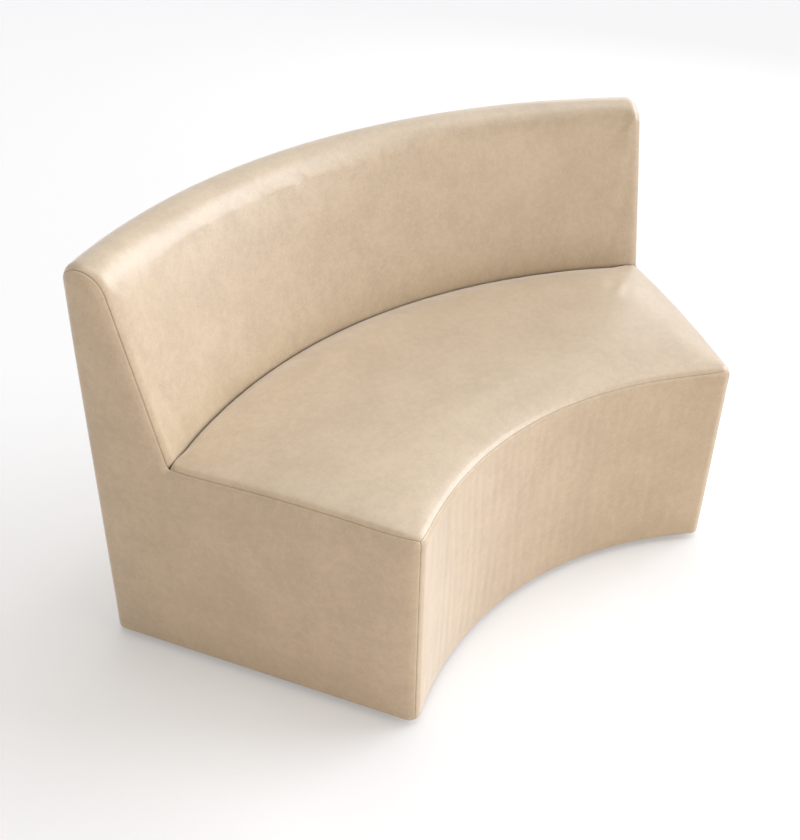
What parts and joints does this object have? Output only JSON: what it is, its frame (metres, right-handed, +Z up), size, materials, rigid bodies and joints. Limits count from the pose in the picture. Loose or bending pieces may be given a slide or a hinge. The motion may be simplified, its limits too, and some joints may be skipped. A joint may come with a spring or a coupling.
{
  "type": "upholstered banquette bench",
  "caption": "Curved banquette section with a concave front, a crowned tight seat, a raked back with a rolled top and splayed ends, on levelling glides.",
  "frame": {"origin": "on the floor, under the middle of the bench's plan box", "axes": "+Z up, front (the open, concave side) towards -Y, +X to the right as seen by someone facing the bench"},
  "size_m": [1.4758, 0.8206, 0.834],
  "materials": {
    "upholstery": "smooth champagne upholstery cover with a soft satin sheen",
    "lining": "plain lining cloth",
    "foam": "cut polyurethane foam",
    "wadding": "white polyester wadding",
    "dust_cloth": "black spun-bonded dust cloth",
    "board": "grey-brown tacking board",
    "birch_plywood": "sanded birch plywood",
    "beech": "planed beech",
    "plated_steel": "zinc-plated steel",
    "glide_nylon": "black nylon"
  },
  "bodies": {
    "bench": {"end_gable_left": "birch_plywood", "end_gable_right": "birch_plywood", "rib_left": "birch_plywood", "rib_right": "birch_plywood", "bottom_front_rail": "birch_plywood", "bottom_back_rail": "birch_plywood", "seat_front_rail": "birch_plywood", "seat_back_rail": "birch_plywood", "lower_back_rail": "birch_plywood", "middle_back_rail": "birch_plywood", "top_rail": "birch_plywood", "front_ply": "birch_plywood", "inside_back_ply": "birch_plywood", "outer_back_ply": "birch_plywood", "seat_deck": "birch_plywood", "glide_blocks": "beech", "tee_nuts": "plated_steel", "frame_screws": "plated_steel", "deck_screws": "plated_steel", "seat_foam": "foam", "back_foam": "foam", "front_pad": "wadding", "end_pad_left": "wadding", "end_pad_right": "wadding", "outer_back_pad": "wadding", "seat_cover": "upholstery", "front_cover": "upholstery", "end_cover_left": "upholstery", "end_cover_right": "upholstery", "inside_back_cover": "upholstery", "outer_back_cover": "upholstery", "seat_pull_strip": "lining", "back_pull_strip": "lining", "tacking_strip": "board", "dust_cover": "dust_cloth"},
    "glide_1": {"glide_1_pad": "glide_nylon"},
    "stem_1": {"glide_1_stem": "plated_steel"},
    "glide_2": {"glide_2_pad": "glide_nylon"},
    "stem_2": {"glide_2_stem": "plated_steel"},
    "glide_3": {"glide_3_pad": "glide_nylon"},
    "stem_3": {"glide_3_stem": "plated_steel"},
    "glide_4": {"glide_4_pad": "glide_nylon"},
    "stem_4": {"glide_4_stem": "plated_steel"},
    "glide_5": {"glide_5_pad": "glide_nylon"},
    "stem_5": {"glide_5_stem": "plated_steel"},
    "glide_6": {"glide_6_pad": "glide_nylon"},
    "stem_6": {"glide_6_stem": "plated_steel"}
  },
  "joints": [
    {"name": "glide_1_height", "type": "slide", "parent": "bench", "child": "glide_1", "axis": [0, 0, -1], "range_m": [0, 0.012]},
    {"name": "stem_1_turn", "type": "hinge", "parent": "glide_1", "child": "stem_1", "pos_m": [-0.38572, -0.32372, 0.01], "axis": [0, 0, -1], "range_deg": [0, 2880]},
    {"name": "glide_2_height", "type": "slide", "parent": "bench", "child": "glide_2", "axis": [0, 0, -1], "range_m": [0, 0.012]},
    {"name": "stem_2_turn", "type": "hinge", "parent": "glide_2", "child": "stem_2", "pos_m": [0, -0.22631, 0.01], "axis": [0, 0, -1], "range_deg": [0, 2880]},
    {"name": "glide_3_height", "type": "slide", "parent": "bench", "child": "glide_3", "axis": [0, 0, -1], "range_m": [0, 0.012]},
    {"name": "stem_3_turn", "type": "hinge", "parent": "glide_3", "child": "stem_3", "pos_m": [0.38572, -0.32372, 0.01], "axis": [0, 0, -1], "range_deg": [0, 2880]},
    {"name": "glide_4_height", "type": "slide", "parent": "bench", "child": "glide_4", "axis": [0, 0, -1], "range_m": [0, 0.012]},
    {"name": "stem_4_turn", "type": "hinge", "parent": "glide_4", "child": "stem_4", "pos_m": [-0.64679, 0.18831, 0.01], "axis": [0, 0, -1], "range_deg": [0, 2880]},
    {"name": "glide_5_height", "type": "slide", "parent": "bench", "child": "glide_5", "axis": [0, 0, -1], "range_m": [0, 0.012]},
    {"name": "stem_5_turn", "type": "hinge", "parent": "glide_5", "child": "stem_5", "pos_m": [0, 0.36889, 0.01], "axis": [0, 0, -1], "range_deg": [0, 2880]},
    {"name": "glide_6_height", "type": "slide", "parent": "bench", "child": "glide_6", "axis": [0, 0, -1], "range_m": [0, 0.012]},
    {"name": "stem_6_turn", "type": "hinge", "parent": "glide_6", "child": "stem_6", "pos_m": [0.64679, 0.18831, 0.01], "axis": [0, 0, -1], "range_deg": [0, 2880]}
  ],
  "couplings": [
    {"joint": "stem_1_turn", "follows": "glide_1_height", "rad_per_m": 4188.8},
    {"joint": "stem_2_turn", "follows": "glide_2_height", "rad_per_m": 4188.8},
    {"joint": "stem_3_turn", "follows": "glide_3_height", "rad_per_m": 4188.8},
    {"joint": "stem_4_turn", "follows": "glide_4_height", "rad_per_m": 4188.8},
    {"joint": "stem_5_turn", "follows": "glide_5_height", "rad_per_m": 4188.8},
    {"joint": "stem_6_turn", "follows": "glide_6_height", "rad_per_m": 4188.8}
  ]
}
